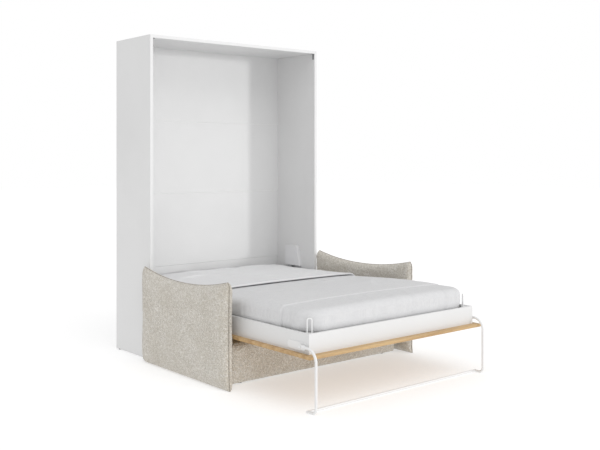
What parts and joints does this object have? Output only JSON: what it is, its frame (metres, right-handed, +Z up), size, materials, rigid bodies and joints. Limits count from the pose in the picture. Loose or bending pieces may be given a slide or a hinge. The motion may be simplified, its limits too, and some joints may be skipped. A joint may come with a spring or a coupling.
{
  "type": "wall bed",
  "caption": "Open white cabinet with a double bed that folds down over an upholstered sofa base on a folding tube leg.",
  "frame": {"origin": "floor level, in the middle of the whole object's width and depth with the bed folded down", "axes": "+X to the viewer's right seen from the foot of the bed, +Y into the wall, +Z up"},
  "size_m": [1.712, 2.133, 2.3],
  "materials": {
    "cabinet_white": "smooth matt white melamine",
    "facade_oak": "satin oak veneer, grain across the bed",
    "bed_white": "white satin powder coat",
    "birch": "bare bent birch slats",
    "pine": "planed softwood",
    "steel": "zinc-plated steel",
    "dark_steel": "dark grey paint, satin",
    "cover_grey": "light grey powder coat",
    "chrome": "polished chrome rod",
    "black_plastic": "matt black plastic",
    "mattress_cloth": "white quilted ticking",
    "blanket_grey": "soft light grey cloth",
    "duvet_white": "washed white cotton",
    "sofa_cloth": "cream boucle, looped pile"
  },
  "bodies": {
    "cabinet": {"side_panel_left": "cabinet_white", "side_panel_right": "cabinet_white", "top_panel": "cabinet_white", "front_plinth": "cabinet_white", "rear_rail": "cabinet_white", "back_panel_1": "cabinet_white", "back_panel_2": "cabinet_white", "back_panel_3": "cabinet_white", "back_panel_4": "cabinet_white", "wall_brackets": "steel", "wall_bracket_screws": "steel", "cam_bolts": "steel", "cam_housings": "steel", "plinth_screws": "steel", "hinge_plate_screws": "steel", "pivot_pins": "steel", "strut_studs": "steel", "arm_bolts": "steel", "arm_spacers": "steel", "hinge_plates": "cover_grey", "strut_covers": "cover_grey", "top_corner_brackets": "dark_steel", "cabinet_glides": "black_plastic", "sofa_feet": "black_plastic", "sofa_long_rails": "pine", "sofa_cross_rails": "pine", "sofa_deck": "pine", "arm_board_left": "pine", "arm_board_right": "pine", "sofa_base": "sofa_cloth", "arm_cushion_left": "sofa_cloth", "arm_cushion_right": "sofa_cloth"},
    "bed": {"side_board_left": "cabinet_white", "side_board_right": "cabinet_white", "foot_board": "cabinet_white", "head_board": "cabinet_white", "facade_head": "facade_oak", "facade_middle": "facade_oak", "facade_foot": "facade_oak", "slat_rails": "pine", "centre_beam": "pine", "slats": "birch", "mattress": "mattress_cloth", "blanket": "blanket_grey", "duvet": "duvet_white", "retaining_loops": "bed_white", "loop_blocks": "cabinet_white", "leg_brackets": "bed_white", "leg_bolts": "bed_white", "bed_bracket_left": "dark_steel", "bed_bracket_right": "dark_steel", "bed_bracket_bolts": "steel"},
    "leg": {"leg_tube_left": "bed_white", "leg_tube_right": "bed_white", "leg_crossbar": "bed_white", "crossbar_caps": "bed_white"},
    "strut_cylinder_left_body": {"strut_cylinder_left": "dark_steel"},
    "strut_rod_left_body": {"strut_rod_left": "chrome"},
    "strut_cylinder_right_body": {"strut_cylinder_right": "dark_steel"},
    "strut_rod_right_body": {"strut_rod_right": "chrome"}
  },
  "joints": [
    {"name": "bed_fold", "type": "hinge", "parent": "cabinet", "child": "bed", "pos_m": [0, 0.7415, 0.45], "axis": [-1, 0, 0], "range_deg": [0, 90]},
    {"name": "leg_fold", "type": "hinge", "parent": "bed", "child": "leg", "pos_m": [0, -0.9285, 0.355], "axis": [-1, 0, 0], "range_deg": [0, 200]},
    {"name": "strut_tilt_left", "type": "hinge", "parent": "cabinet", "child": "strut_cylinder_left_body", "pos_m": [-0.737, 0.8875, 0.648], "axis": [-1, 0, 0], "range_deg": [0, 6.01]},
    {"name": "strut_slide_left", "type": "slide", "parent": "strut_cylinder_left_body", "child": "strut_rod_left_body", "axis": [0, -0.3389, -0.9408], "range_m": [0, 0.11002]},
    {"name": "strut_tilt_right", "type": "hinge", "parent": "cabinet", "child": "strut_cylinder_right_body", "pos_m": [0.737, 0.8875, 0.648], "axis": [-1, 0, 0], "range_deg": [0, 6.01]},
    {"name": "strut_slide_right", "type": "slide", "parent": "strut_cylinder_right_body", "child": "strut_rod_right_body", "axis": [0, -0.3389, -0.9408], "range_m": [0, 0.11002]}
  ],
  "couplings": [
    {"joint": "leg_fold", "follows": "bed_fold", "ratio": 2.2222},
    {"joint": "strut_tilt_left", "follows": "bed_fold", "ratio": 0.066731},
    {"joint": "strut_slide_left", "follows": "bed_fold", "m_per_rad": 0.070035},
    {"joint": "strut_tilt_right", "follows": "bed_fold", "ratio": 0.066731},
    {"joint": "strut_slide_right", "follows": "bed_fold", "m_per_rad": 0.070035}
  ]
}
